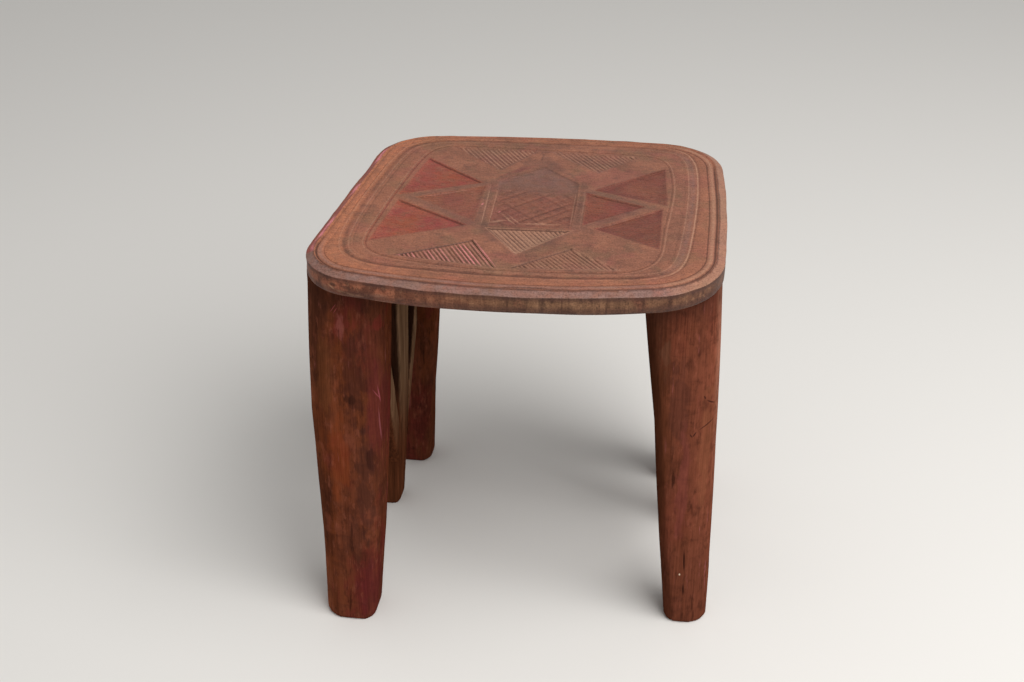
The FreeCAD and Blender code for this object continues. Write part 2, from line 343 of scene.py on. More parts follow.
leg_wood, tree, shader, place, spot, facing = new_wood("stained_leg_wood")
streaks = drawn_noise(tree, place, *streak_grain)
fibres = drawn_noise(tree, place, *fibre_grain)
colour = ramp(
    tree, streaks,
    (0.28, (80, 42, 28)), (0.44, (98, 52, 34)),
    (0.58, (107, 57, 38)), (0.74, (119, 66, 45)),
)
right_side = between(tree, spot["X"], -0.02, 0.12)
left_side = calc(tree, "SUBTRACT", 1.0, times(tree, right_side, 0.75))
colour = washed(tree, colour, right_side, 0.5, (128, 73, 56))
# Painted highlight: flats facing out to the left on the left legs, and those facing right on the right legs
# between 0.10 and 0.34 m, are painted paler as a reflection of the bright surroundings.
left_flats_highlight = times(tree, between(tree, facing["X"], -0.45, -1.0), between(tree, spot["X"], 0.0, -0.05))
colour = washed(tree, colour, left_flats_highlight, 0.75, (160, 96, 68))
right_flats_highlight = times(tree, between(tree, facing["X"], 0.82, 1.0), between(tree, spot["X"], 0.0, 0.05))
high_flats_highlight = times(tree, right_flats_highlight, between(tree, spot["Z"], 0.10, 0.34))
colour = washed(tree, colour, high_flats_highlight, 0.60, (176, 122, 100))
# Stain patches along the grain: broad ones, mostly on the left legs, and finer ones.
colour = patched(tree, place, colour, (
    (13, 0.35, 7, (0.3, 0.1, 0.4), 0.48, 0.58, 0.45, (114, 58, 30)),
    (17, 0.40, 7, (0.7, 0.5, 0.2), 0.50, 0.62, 0.60, (64, 36, 27)),
    (19, 0.40, 7, (0.1, 0.9, 0.6), 0.51, 0.62, 0.60, (104, 37, 37)),
), left_side)
colour = patched(tree, place, colour, (
    (58, 0.45, 7, (0.6, 0.3, 0.8), 0.50, 0.66, 0.42, (62, 33, 25)),
    (52, 0.55, 7, (0.9, 0.8, 0.3), 0.55, 0.70, 0.40, (138, 76, 58)),
    (40, 3.20, 7, (0.2, 0.5, 0.6), 0.50, 0.70, 0.30, (66, 36, 27)),
    (240, 0.08, 7, (0.5, 0.2, 0.1), 0.64, 0.70, 0.60, (160, 92, 92)),
    (210, 0.40, 7, (0.4, 0.7, 0.5), 0.50, 0.68, 0.42, (52, 28, 21)),
    (190, 0.35, 7, (0.8, 0.1, 0.7), 0.54, 0.70, 0.45, (140, 80, 62)),
))
# Washes of stain at set places, first on the front left leg and then on the front right one.
colour = smudged(tree, place, colour, (
    ((-0.129, -0.146, 0.315), (0.018, 0.05, 0.060), 0, 1.7, 0.50, (86, 45, 35)),
    ((-0.125, -0.148, 0.245), (0.015, 0.05, 0.070), 0, 1.7, 0.60, (95, 37, 38)),
    ((-0.146, -0.154, 0.285), (0.016, 0.05, 0.065), 0, 2.8, 0.65, (66, 35, 28)),
    ((-0.163, -0.157, 0.195), (0.013, 0.05, 0.065), 0, 2.4, 0.55, (122, 58, 30)),
    ((-0.141, -0.157, 0.165), (0.013, 0.05, 0.075), 0, 2.8, 0.60, (72, 42, 34)),
    ((-0.174, -0.151, 0.285), (0.011, 0.05, 0.055), 0, 2.0, 0.60, (104, 60, 36)),
    ((-0.140, -0.155, 0.030), (0.016, 0.05, 0.050), 0, 2.4, 0.45, (94, 36, 40)),
    ((-0.152, -0.158, 0.100), (0.014, 0.05, 0.035), 0, 2.8, 0.45, (70, 40, 32)),
    ((-0.155, -0.150, 0.340), (0.005, 0.05, 0.016), 0, 4.0, 0.50, (140, 78, 70)),
    ((-0.123, -0.146, 0.341), (0.005, 0.05, 0.008), 0, 4.5, 0.30, (146, 48, 48)),
    ((-0.152, -0.155, 0.262), (0.008, 0.05, 0.007), 0, 2.8, 0.55, (42, 24, 19)),
    ((-0.132, -0.155, 0.198), (0.007, 0.05, 0.012), 0, 2.8, 0.50, (46, 26, 22)),
    ((0.130, -0.120, 0.325), (0.019, 0.06, 0.085), 0, 0.9, 0.70, (72, 40, 27)),
    ((0.138, -0.124, 0.318), (0.008, 0.05, 0.020), 0, 4.0, 0.50, (112, 74, 57)),
    ((0.136, -0.122, 0.210), (0.019, 0.05, 0.160), 0, 0.9, 0.55, (80, 44, 26)),
    ((0.155, -0.124, 0.265), (0.014, 0.05, 0.060), 0, 2.8, 0.55, (88, 50, 40)),
    ((0.162, -0.122, 0.170), (0.007, 0.05, 0.080), 0, 2.4, 0.40, (128, 66, 60)),
    ((0.181, -0.112, 0.210), (0.008, 0.05, 0.090), 0, 2.0, 0.40, (132, 80, 56)),
))


def turned_in(tree, spot, facing, axis):
    """Below 0 on the flats that look in towards the middle of the table along an axis."""
    product = add_node(tree, "Math", {0: spot[axis], 1: facing[axis]}, operation="MULTIPLY")
    return product.outputs["Value"]


# Painted shade: flats that look in under the table are darkened, more strongly on the right legs, whose
# inner facets turn away from the lamp.
for axis in ("X", "Y"):
    shaded_inner_flat = between(tree, turned_in(tree, spot, facing, axis), -0.03, -0.07)
    share = times(tree, shaded_inner_flat, 0.15)
    if axis == "X":
        share = calc(tree, "ADD", share, times(tree, shaded_inner_flat, right_side, 0.3))
    colour = blend(tree, share, colour, (52, 28, 16))
cracks = patches(tree, place, 150, 0.07, 6, (0.2, 0.6, 0.9), 0.63, 0.68)
colour = washed(tree, colour, cracks, 0.5, (30, 16, 12))
low_right = times(tree, right_side, between(tree, spot["Z"], 0.16, 0.05))
colour = washed(tree, colour, low_right, 0.25, (64, 34, 24))
# Pale scratches on the front left leg, and dark ones, cracks and a chip on the front right one.
scratch = (44, 24, 22)
split = (26, 14, 12)
colour = smudged(tree, place, colour, (
    ((-0.1236, -0.149, 0.2670), (0.0120, 0.05, 0.0006), -85, 0.8, 0.42, (178, 92, 104)),
    ((-0.1256, -0.151, 0.2680), (0.0080, 0.05, 0.0005), -65, 0.8, 0.38, (170, 86, 96)),
    ((-0.1242, -0.149, 0.2360), (0.0250, 0.05, 0.0006), -89, 0.9, 0.42, (170, 98, 104)),
    ((-0.1617, -0.149, 0.3564), (0.0062, 0.05, 0.0005), 56, 0.5, 0.60, (164, 78, 84)),
    ((-0.1599, -0.149, 0.3540), (0.0045, 0.05, 0.0005), 56, 0.5, 0.50, (164, 78, 84)),
    ((0.1667, -0.124, 0.2320), (0.0025, 0.05, 0.0009), -65, 0.1, 0.80, scratch),
    ((0.1698, -0.124, 0.2336), (0.0044, 0.05, 0.0009), 62, 0.1, 0.80, scratch),
    ((0.1801, -0.115, 0.2424), (0.0100, 0.05, 0.0009), 31, 0.1, 0.75, scratch),
    ((0.1769, -0.120, 0.2735), (0.0028, 0.05, 0.0009), -67, 0.1, 0.75, scratch),
    ((0.1826, -0.113, 0.2665), (0.0066, 0.05, 0.0009), -44, 0.1, 0.75, scratch),
    ((0.1687, -0.118, 0.0800), (0.0180, 0.05, 0.0010), -87, 0.5, 0.90, split),
    ((0.1697, -0.117, 0.0449), (0.0090, 0.05, 0.0009), -87, 0.5, 0.85, split),
    ((0.1652, -0.118, 0.0626), (0.0011, 0.05, 0.0016), 0, 0.3, 0.95, (224, 200, 172)),
))


def toned_down(tree, colour, share, pattern, low, high, tone):
    """A colour made darker by a tone where a pattern is low, and left as it is where it is high."""
    veil = ramp(tree, pattern, (low, tone), (high, (255, 255, 255)))
    return blend(tree, share, colour, veil, "MULTIPLY")


colour = toned_down(tree, colour, 0.26, fibres, 0.34, 0.60, (96, 84, 78))
# Painted shadow: the legs darken towards their heads, just under the board.
shade_under_board = between(tree, spot["Z"], 0.335, underside)
colour = washed(tree, colour, shade_under_board, 0.5, (52, 31, 25))
tree.links.new(colour, shader.inputs["Base Color"])
varied_roughness(tree, shader, streaks, 0.72, 0.56)
shader.inputs["Specular IOR Level"].default_value = 0.0
relief = calc(tree, "SUBTRACT", fibres, times(tree, cracks, 0.3))
rough_surface(tree, shader, relief, 0.0010, 0.7)

for seed, node in enumerate(corner_legs):
    leg = carved_member(node, 3.7 * seed, leg_grid, leg_hewing)
    leg.data.materials.append(leg_wood)
    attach(leg, "root")
    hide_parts(node)


# Side supports
# On each side a flat middle leg stands between the corner legs, with a brace leaning out of
# it to the front and one to the back. They are one with the block, and the faces that look
# inwards were left nearly bare.
support_grid = 0.0018
support_hewing = 0.0010

support_wood, tree, shader, place, spot, facing = new_wood("bare_support_wood")
streaks = drawn_noise(tree, place, *streak_grain)
fibres = drawn_noise(tree, place, *fibre_grain)
bare = ramp(
    tree, streaks, (0.32, (100, 74, 55)), (0.5, (128, 97, 72)), (0.68, (148, 115, 88)),
)
stained = ramp(
    tree, streaks, (0.32, (66, 37, 24)), (0.5, (92, 51, 32)), (0.7, (110, 64, 42)),
)
inner_face = between(tree, turned_in(tree, spot, facing, "X"), -0.06, -0.12)
# The inner faces turn to bare wood between 0.06 and 0.20 m up. Below that, the darker stained tone is kept
# as painted shade.
colour = blend(tree, times(tree, inner_face, between(tree, spot["Z"], 0.06, 0.20)), stained, bare)
side_face = add_node(tree, "Math", {0: facing["Y"]}, operation="ABSOLUTE").outputs["Value"]
# Painted shade: the faces that look to the front and back, from about 0.1 m up, are darkened where they lie
# in shadow between the middle leg and the braces.
shade_in_the_fork = times(tree, between(tree, side_face, 0.55, 0.85), between(tree, spot["Z"], 0.10, 0.18))
colour = washed(tree, colour, shade_in_the_fork, 0.85, (38, 24, 18))
colour = toned_down(tree, colour, 0.4, fibres, 0.36, 0.6, (50, 42, 38))
tree.links.new(colour, shader.inputs["Base Color"])
shader.inputs["Roughness"].default_value = 0.7
shader.inputs["Specular IOR Level"].default_value = 0.0
rough_surface(tree, shader, fibres, 0.0006, 0.5)

for seed, node in enumerate((
    "left_middle_leg", "left_front_brace", "left_back_brace",
    "right_middle_leg", "right_front_brace", "right_back_brace",
)):
    support = carved_member(node, 20 + 2.3 * seed, support_grid, support_hewing)
    support.data.materials.append(support_wood)
    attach(support, "root")
    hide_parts(node)


# Top
# A thick board with bowed sides and round corners, left standing at the top of the block, so
# its face is end grain. The rim is worn to a shallow bevel. Border lines, sunk shapes and
# rows of fine lines are cut in with a knife, and some shapes are rubbed with red colour.
board_low, board_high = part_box("table_top")
surface = board_high[2]
face_depth = 0.0029
rim_slopes = (0.90, 0.97)
edge_wear = 0.0009
edge_step = 0.005
edge_drops = (0.0007, 0.0012, 0.0017, 0.0055, 0.0090, 0.0130, 0.0170)


def sliced(place, across):
    """Divide the mesh of the piece in hand along a plane."""
    bpy.ops.mesh.select_all(action="SELECT")
    bpy.ops.mesh.bisect(plane_co=place, plane_no=across)


# The plain face and the pockets in it are taken off, and the edge is divided to be hewn.
top = solid_copy("table_top", "carved_top")
bpy.ops.object.mode_set(mode="EDIT")
bpy.ops.mesh.select_mode(type="FACE")
bpy.ops.mesh.dissolve_limited(angle_limit=math.radians(0.6))
bpy.ops.mesh.select_all(action="DESELECT")
bpy.ops.object.mode_set(mode="OBJECT")
for polygon in top.data.polygons:
    on_rim = rim_slopes[0] < polygon.normal.z < rim_slopes[1]
    polygon.select = polygon.center.z > surface - face_depth and not on_rim
bpy.ops.object.mode_set(mode="EDIT")
bpy.ops.mesh.delete(type="FACE")
bpy.ops.object.mode_set(mode="OBJECT")
apply_modifier(
    top, "BEVEL", width=edge_wear, segments=2, limit_method="ANGLE", angle_limit=math.radians(15),
)
bpy.ops.object.mode_set(mode="EDIT")
for low, high, across in zip(board_low, board_high, (Vector((1, 0, 0)), Vector((0, 1, 0)))):
    for step in range(1, int((high - low) / edge_step) + 1):
        sliced(across * (low + step * edge_step), across)
for drop in edge_drops:
    sliced((0, 0, surface - drop), (0, 0, 1))
bpy.ops.mesh.select_all(action="DESELECT")
bpy.ops.mesh.select_mode(type="EDGE")
bpy.ops.mesh.select_non_manifold()
bpy.ops.object.mode_set(mode="OBJECT")


def open_loop(mesh):
    """The vertices around the opening whose edges are selected, in order."""
    beside = {}
    for edge in mesh.edges:
        if edge.select:
            first, last = edge.vertices
            beside.setdefault(first, []).append(last)
            beside.setdefault(last, []).append(first)
    loop = [next(iter(beside))]
    loop.append(beside[loop[0]][0])
    while True:
        ahead = [vertex for vertex in beside[loop[-1]] if vertex != loop[-2]][0]
        if ahead == loop[0]:
            return loop
        loop.append(ahead)


rim_loop = open_loop(top.data)
rim_line = np.array([top.data.vertices[index].co.xy for index in rim_loop])
rim_drops = [surface - vertex.co.z for vertex in top.data.vertices]
hollows_per_metre = Vector((26, 26, 40))
hollow_depth = 0.0012
nicks_per_metre = Vector((95, 95, 130))
nick_depth = 0.0006
rim_kept = 0.0001
hewn_below = 0.004
lower_waves = Vector((15, 15, 1.5))
lower_rise = 0.003
lower_start = 0.006
lower_length = 0.012
arris_waves = Vector((42, 42, 6.5))
arris_rise = 0.0013
arris_drop = 0.0032
arris_reach = 0.0018


def waviness(point, waves):
    """Smooth noise from 0 to 1, with so many waves to the metre along each axis."""
    return 0.5 + 0.5 * noise.noise(point * waves)


def edge_hewing(point, normal):
    """Hewing on the edge of the board, none where the rim meets the carved face."""
    if point.z > surface - rim_kept or normal.z < -0.9:
        return 0
    depth = hollow_depth * waviness(point, hollows_per_metre) + nick_depth * waviness(point, nicks_per_metre)
    return depth * min(1, 0.15 + (surface - point.z) / hewn_below)


shave(top, edge_hewing)
for vertex in top.data.vertices:
    across = Vector((vertex.co.x, vertex.co.y, 1))
    below = part_way(surface - vertex.co.z, lower_start, lower_length)
    vertex.co.z += lower_rise * below * waviness(across, lower_waves)
    arris = max(0, 1 - abs(surface - arris_drop - vertex.co.z) / arris_reach)
    vertex.co.z += arris_rise * arris * noise.noise(across * arris_waves)
top.data.update()

# The sunk shapes: corners, what each floor is rubbed with, and how much painted shade lies at the foot
# of its walls, the walls numbered from the first corner. Floors are deepest along the shaded walls.
floor_deep = 0.0014
floor_shallow = 0.0003
wall_width = 0.0013
shade_band_width = 0.0020
rubbed_over = 0.0013
sunk_shapes = {
    "left_back": (((-0.121, 0.101), (-0.134, 0.007), (-0.056, 0.047)), {"red": 0.95}, {2: 0.75}),
    "left_middle": (
        ((-0.052, 0.039), (-0.116, 0.004), (-0.051, -0.042)), {"red": 0.42, "dark": 0.18}, {0: 0.3},
    ),
    "left_front": (((-0.131, -0.003), (-0.140, -0.097), (-0.056, -0.051)), {"red": 1.0}, {2: 0.75}),
    "right_back": (((0.121, 0.107), (0.055, 0.044), (0.128, 0.018)), {"red": 0.55, "dark": 0.40}, {0: 0.70}),
    "right_middle": (
        ((0.048, 0.037), (0.052, -0.036), (0.107, 0.013)), {"red": 0.75, "dark": 0.38}, {2: 0.75},
    ),
    "right_front": (
        ((0.124, 0.010), (0.063, -0.042), (0.126, -0.077)), {"red": 0.66, "dark": 0.50}, {0: 0.65},
    ),
    "back_left": (((-0.103, 0.135), (-0.043, 0.079), (-0.010, 0.136)), {"grey": 0.15}, {0: 0.3}),
    "back_right": (((0.096, 0.136), (-0.002, 0.136), (0.054, 0.086)), {"grey": 0.2}, {2: 0.3}),
    "front_left": (((-0.045, -0.080), (-0.114, -0.122), (-0.014, -0.136)), {"pale": 0.2}, {0: 1.0}),
    "front_right": (((0.047, -0.084), (-0.008, -0.134), (0.096, -0.124)), {"pale": 0.3}, {0: 0.85}),
    "middle_front": (((0.044, -0.049), (-0.038, -0.054), (-0.002, -0.106)), {"pale": 0.75}, {0: 0.95}),
    "middle": (
        ((0.0, 0.097), (-0.042, 0.054), (-0.035, -0.050), (0.041, -0.046), (0.039, 0.058)),
        {"grey": 0.5, "dark": 0.26, "red": 0.42}, {0: 0.35, 4: 0.6},
    ),
}
# The outline of the star whose plain bands run between the shapes.
star = (
    (-0.002, 0.124), (-0.052, 0.050), (-0.130, 0.005), (-0.050, -0.054),
    (0.000, -0.112), (0.052, -0.048), (0.122, 0.012), (0.050, 0.048),
)


def turn_of(ring):
    """1 for a closed line that runs anticlockwise, -1 for one that runs clockwise."""
    ahead = np.roll(ring, -1, axis=0)
    return np.sign(np.sum(ring[:, 0] * ahead[:, 1] - ring[:, 1] * ahead[:, 0]))


def inwards(corners):
    """The direction into a shape from each of its sides."""
    places = np.array(corners)
    runs = np.roll(places, -1, axis=0) - places
    runs /= np.linalg.norm(runs, axis=1)[:, None]
    return np.column_stack([-runs[:, 1], runs[:, 0]]) * turn_of(places)


def inset(corners, distance):
    """A shape drawn inside another at an even distance from its sides."""
    inward = inwards(corners)
    result = []
    for index, place in enumerate(np.array(corners)):
        sides = np.array([inward[index - 1], inward[index]])
        result.append(place + np.linalg.solve(sides, [distance, distance]))
    return np.array(result)


def off_sides(corners, xs, ys):
    """How far points lie in from each side of a shape, less than nothing beyond it."""
    sides = zip(corners, inwards(corners))
    return np.array([(xs - px) * nx + (ys - py) * ny for (px, py), (nx, ny) in sides])


def within(corners, xs, ys):
    """How far points lie inside a shape, less than nothing outside it."""
    return off_sides(corners, xs, ys).min(axis=0)


def evenly(points, step):
    """The same closed line with its points spaced evenly."""
    ring = np.vstack([points, points[:1]])
    reach = np.concatenate([[0], np.cumsum(np.linalg.norm(np.diff(ring, axis=0), axis=1))])
    places = np.linspace(0, reach[-1], int(reach[-1] / step), endpoint=False)
    return np.column_stack([np.interp(places, reach, ring[:, axis]) for axis in (0, 1)])


def alongside(points, distance, closed):
    """A line drawn beside another at a distance, which may change from point to point."""
    if closed:
        runs = np.roll(points, -1, axis=0) - np.roll(points, 1, axis=0)
    else:
        runs = np.gradient(points, axis=0)
    runs = runs / np.linalg.norm(runs, axis=1)[:, None]
    return points + np.column_stack([-runs[:, 1], runs[:, 0]]) * np.reshape(distance, (-1, 1))


def smooth_ring(points, steps=6):
    """A smooth closed line through points that were set out."""
    here = np.array(points)[:, None, :]
    before, after, beyond = (np.roll(here, shift, axis=0) for shift in (1, -1, -2))
    share = (np.arange(steps) / steps)[None, :, None]
    line = 2 * here + (after - before) * share
    line = line + (2 * before - 5 * here + 4 * after - beyond) * share ** 2
    line = line + (3 * here - before - 3 * after + beyond) * share ** 3
    return line.reshape(-1, 2) / 2


knife_cuts = []
cut_end = 0.3


def cut_line(points, half, deep, mark, strength, closed=False):
    """Set out one knife cut: half its width, its depth, and the colour that stays in it."""
    points = np.array(points, dtype=float)
    halves = np.full(len(points), half)
    if not closed:
        halves[[0, -1]] *= cut_end
    knife_cuts.append((points, halves, deep, mark, strength * np.ones(len(points)), closed))


row_margin = 0.0011
row_wander = 0.0005
row_drift = 0.0004
shortest_row = 0.004


def cut_rows(corners, slant, spacing, half, deep, mark, strength, seed, shift=0.0, uneven=0.6):
    """Set out rows of parallel cuts across a shape, at a slant given in degrees."""
    outline = inset(corners, row_margin)
    run = np.array([math.cos(math.radians(slant)), math.sin(math.radians(slant))])
    across = np.array([-run[1], run[0]])
    levels = outline @ across
    for step in range(1, int((levels.max() - levels.min()) / spacing) + 1):
        wander = row_wander * noise.noise(Vector((seed, step * 1.7, 0)))
        level = levels.min() + (step + shift) * spacing + wander
        crossings = []
        for start, stop in zip(outline, np.roll(outline, -1, axis=0)):
            first, last = start @ across - level, stop @ across - level
            if first * last < 0:
                crossings.append((start + (stop - start) * first / (first - last)) @ run)
        if len(crossings) == 2 and max(crossings) - min(crossings) > shortest_row:
            row = []
            for share in (0, 0.12, 0.35, 0.65, 0.88, 1):
                along = min(crossings) + share * (max(crossings) - min(crossings))
                drift = row_drift * noise.noise(Vector((seed, level * 300, share * 3)))
                row.append(run * along + across * (level + drift))
            wide = half * (1 + 0.25 * noise.noise(Vector((seed, step * 2.3, 5))))
            strong = strength * max(0.1, 0.75 + uneven * noise.noise(Vector((seed, step * 3.9, 8))))
            cut_line(row, wide, deep, mark, strong)


# Two border lines run round the pattern, and a groove, a bead and a line follow the rim. The
# groove swings inwards a little at one place along the front.
outer_border = smooth_ring((
    (-0.100, 0.150), (-0.050, 0.154), (0.000, 0.156), (0.060, 0.1585), (0.108, 0.158),
    (0.133, 0.150), (0.144, 0.130), (0.149, 0.100), (0.1515, 0.050), (0.1515, 0.000),
    (0.150, -0.050), (0.1465, -0.095), (0.137, -0.120), (0.116, -0.133), (0.080, -0.1405),
    (0.040, -0.1450), (0.000, -0.1470), (-0.050, -0.1470), (-0.100, -0.144), (-0.135, -0.137),
    (-0.155, -0.120), (-0.163, -0.090), (-0.164, -0.050), (-0.162, 0.000), (-0.158, 0.050),
    (-0.153, 0.095), (-0.145, 0.126), (-0.126, 0.143),
))
panel_border = smooth_ring((
    (-0.085, 0.1375), (-0.040, 0.138), (0.000, 0.138), (0.045, 0.1385), (0.088, 0.138),
    (0.111, 0.133), (0.122, 0.118), (0.127, 0.095), (0.1305, 0.060), (0.1305, 0.020),
    (0.128, -0.040), (0.1275, -0.080), (0.123, -0.102), (0.112, -0.118), (0.094, -0.1275),
    (0.050, -0.134), (0.000, -0.138), (-0.050, -0.137), (-0.100, -0.130), (-0.126, -0.121),
    (-0.140, -0.105), (-0.1425, -0.080), (-0.1405, -0.040), (-0.138, 0.000), (-0.136, 0.020),
    (-0.130, 0.080), (-0.122, 0.117), (-0.108, 0.132),
))
rim_even = evenly(rim_line, 0.004)
swing_x = 0.02
swing_width = 0.022


def beside_rim(distance):
    """A line that follows the rim, at a distance inside it."""
    return evenly(alongside(rim_even, distance * turn_of(rim_line), True), 0.005)


rim_swing = np.exp(-((rim_even[:, 0] - swing_x) / swing_width) ** 2) * (rim_even[:, 1] < 0)
rim_groove = beside_rim(0.0019 + 0.0026 * rim_swing)
rim_bead = beside_rim(0.0055)
rim_inner = beside_rim(0.0093)


def at_front(points):
    """1 along the front of the board, 0 elsewhere."""
    return part_way(-points[:, 1], 0.09, 0.04)


def at_back(points):
    """1 along the back of the board, 0 elsewhere."""
    return part_way(points[:, 1], 0.09, 0.04)


def at_left(points):
    """1 along the left side of the board, 0 elsewhere."""
    return part_way(-points[:, 0], 0.11, 0.03) * (1 - at_front(points))


def at_right(points):
    """1 along the right side of the board, 0 elsewhere."""
    return part_way(points[:, 0], 0.115, 0.03)


def rim_cut(points):
    """1 where the groove beside the rim is cut, along the front and the right side."""
    return np.maximum(at_front(points), at_right(points) * (1 - at_back(points)))


bead_grey = 0.75 * at_front(rim_bead) * (1 - at_right(rim_bead))
inner_dirt = 0.75 * np.maximum(at_front(rim_inner), at_right(rim_inner))
border_dirt = 0.10 + 0.65 * at_front(outer_border) + 0.28 * at_back(outer_border)
border_dirt = (border_dirt + 0.30 * at_left(outer_border)) * (1 - 0.7 * at_right(outer_border))
for ring, half, deep, mark, strengths in (
    (rim_groove, 0.0018, 0.0012, "dark", 1.7 * rim_cut(rim_groove)),
    (rim_bead, 0.0034, 0, "grey", bead_grey),
    (rim_bead, 0.0034, 0, "pale", 0.65 * at_right(rim_bead)),
    (rim_inner, 0.0010, 0.0005, "dark", inner_dirt),
    (outer_border, 0.0032, 0.0008, "dark", border_dirt),
    (outer_border, 0.0050, 0, "grey", 0.45 * at_right(outer_border)),
    (panel_border, 0.0014, 0.0008, "dark", 0.40 + 0.15 * at_front(panel_border)),
    (panel_border, 0.0018, 0, "red", 0.8 * at_left(panel_border)),
):
    cut_line(ring, half, deep, mark, strengths, closed=True)
for ring, distance, mark, strength, on_right, on_left in (
    (outer_border, 0.0044, "pale", 0.25, 0.75, 0.1),
    (outer_border, -0.0044, "pale", 0.25, 0.20, 0.1),
    (panel_border, 0.0026, "pale", 0.25, 0.25, 0.1),
    (outer_border, 0.0062, "dark", 0.05, 0.45, 0.0),
    (outer_border, -0.0085, "dark", 0.05, 0.0, 0.35),
):
    beside = alongside(ring, distance, True)
    strengths = strength + on_right * at_right(beside) + on_left * at_left(beside)
    cut_line(beside, 0.0011, 0.0003, mark, strengths, closed=True)
# Hatch rows in the shapes, and the pale or pink ridges that stand between some of them.
for name, slant, spacing, half, deep, strength, seed in (
    ("front_left", -61, 0.0038, 0.0011, 0.0009, 0.8, 1.0),
    ("front_right", -52, 0.0038, 0.0012, 0.0008, 0.85, 2.0),
    ("middle_front", -57, 0.0039, 0.0013, 0.0010, 1.1, 3.0),
    ("back_left", -57, 0.0041, 0.0010, 0.0007, 0.55, 4.0),
    ("back_right", -52, 0.0043, 0.0011, 0.0007, 0.75, 5.0),
    ("left_middle", 20, 0.0038, 0.0010, 0.0003, 0.35, 6.0),
    ("left_front", 22, 0.0036, 0.0009, 0.0003, 0.25, 7.0),
    ("left_back", 24, 0.0036, 0.0009, 0.0003, 0.25, 8.0),
    ("right_middle", 24, 0.0040, 0.0009, 0.0003, 0.25, 9.0),
    ("right_back", 43, 0.0036, 0.0010, 0.0003, 0.35, 10.0),
    ("right_front", 40, 0.0040, 0.0010, 0.0003, 0.30, 11.0),
):
    cut_rows(sunk_shapes[name][0], slant, spacing, half, deep, "dark", strength, seed)
for name, slant, spacing, mark, strength, seed, uneven in (
    ("front_left", -61, 0.0038, "pale", 0.55, 1.0, 0.6),
    ("front_left", -61, 0.0038, "pink", 0.55, 1.0, 2.6),
    ("front_right", -52, 0.0038, "pale", 0.50, 2.0, 0.8),
    ("back_left", -57, 0.0041, "pale", 0.80, 4.0, 0.8),
    ("back_right", -52, 0.0043, "pale", 0.55, 5.0, 0.8),
):
    shape = sunk_shapes[name][0]
    cut_rows(shape, slant, spacing, 0.0009, 0, mark, strength, seed, shift=0.5, uneven=uneven)
# A lattice in the middle shape, pale upright lines on both sides of it, and single strokes.
lattice = ((-0.036, 0.036), (-0.035, -0.049), (0.040, -0.045), (0.038, 0.036))
for slant in (48, -46):
    cut_rows(lattice, slant, 0.0098, 0.0021, 0.0004, "dark", 0.62, slant, uneven=2.4)
    cut_rows(lattice, slant, 0.0098, 0.0016, 0, "pale", 0.18, slant, shift=0.35, uneven=1.6)
for start, stop, strength in (
    ((-0.0478, 0.044), (-0.0425, -0.053), 0.75), ((-0.0395, 0.042), (-0.0358, -0.047), 0.65),
    ((0.0377, 0.044), (0.0405, -0.043), 0.60), ((0.0470, 0.036), (0.0500, -0.040), 0.3),
):
    shares = np.linspace(0, 1, 6)[:, None]
    line = np.array(start) * (1 - shares) + np.array(stop) * shares
    cut_line(line, 0.0009, 0.0004, "pale", strength)
for points, half, deep, mark, strength in (
    (((-0.0060, 0.1000), (-0.0240, 0.0830), (-0.0440, 0.0620)), 0.0060, 0.0, "red", 0.7),
    (
        ((-0.037, -0.0530), (-0.020, -0.0523), (0.002, -0.0512), (0.022, -0.0499), (0.0395, -0.0487)),
        0.0030, 0.0, "dark", 0.9,
    ),
    (((0.0394, 0.0430), (0.0404, 0.0050), (0.0418, -0.0440)), 0.0014, 0.0, "dark", 0.85),
    (((-0.010, -0.0405), (0.010, -0.0390), (0.034, -0.0370)), 0.0040, 0.0, "pale", 0.8),
    (((-0.027, -0.021), (-0.018, -0.034), (-0.008, -0.046)), 0.0016, 0.0005, "pale", 1.0),
    (((-0.023, -0.019), (-0.013, -0.033), (-0.003, -0.045)), 0.0014, 0.0005, "pale", 0.9),
    (((-0.038, -0.044), (-0.029, -0.038), (-0.021, -0.035)), 0.0030, 0.0003, "pale", 1.0),
    (((-0.0496, -0.006), (-0.0490, -0.004), (-0.0484, -0.001)), 0.0017, 0.0, "pink", 1.0),
    (((-0.0310, -0.019), (-0.0300, -0.017), (-0.0290, -0.016)), 0.0010, 0.0, "pink", 0.9),
    (((0.1035, 0.0125), (0.1050, 0.0120), (0.1065, 0.0120)), 0.0016, 0.0012, "dark", 1.0),
    (((-0.0440, -0.081), (-0.0300, -0.107), (-0.0150, -0.133)), 0.0013, 0.0003, "pink", 0.9),
    (((-0.0060, 0.1250), (-0.0062, 0.1160), (-0.0060, 0.1080)), 0.0016, 0.0005, "dark", 0.7),
    (((0.0432, 0.050), (0.0440, 0.010), (0.0452, -0.030), (0.0460, -0.046)), 0.0030, 0.0006, "dark", 0.45),
):
    cut_line(points, half, deep, mark, strength)


def near_cut(xs, ys, start, stop):
    """How far points lie from a straight stretch, and how far along it."""
    run = stop - start
    share = part_way((xs - start[0]) * run[0] + (ys - start[1]) * run[1], 0, run @ run)
    return np.hypot(xs - start[0] - share * run[0], ys - start[1] - share * run[1]), share


def stretches(points, closed):
    """The straight stretches of a line, as pairs of numbers of its points."""
    last = len(points) if closed else len(points) - 1
    return [(index, (index + 1) % len(points)) for index in range(last)]


def outside(ring, xs, ys):
    """True for points that lie outside a closed line."""
    crossed = np.zeros(len(xs), dtype=bool)
    for (x0, y0), (x1, y1) in zip(ring, np.roll(ring, -1, axis=0)):
        if y0 != y1:
            spans = (ys > min(y0, y1)) & (ys <= max(y0, y1))
            crossed ^= spans & (xs < x0 + (ys - y0) * (x1 - x0) / (y1 - y0))
    return ~crossed


band_dirt = 0.24
band_grey = 0.15


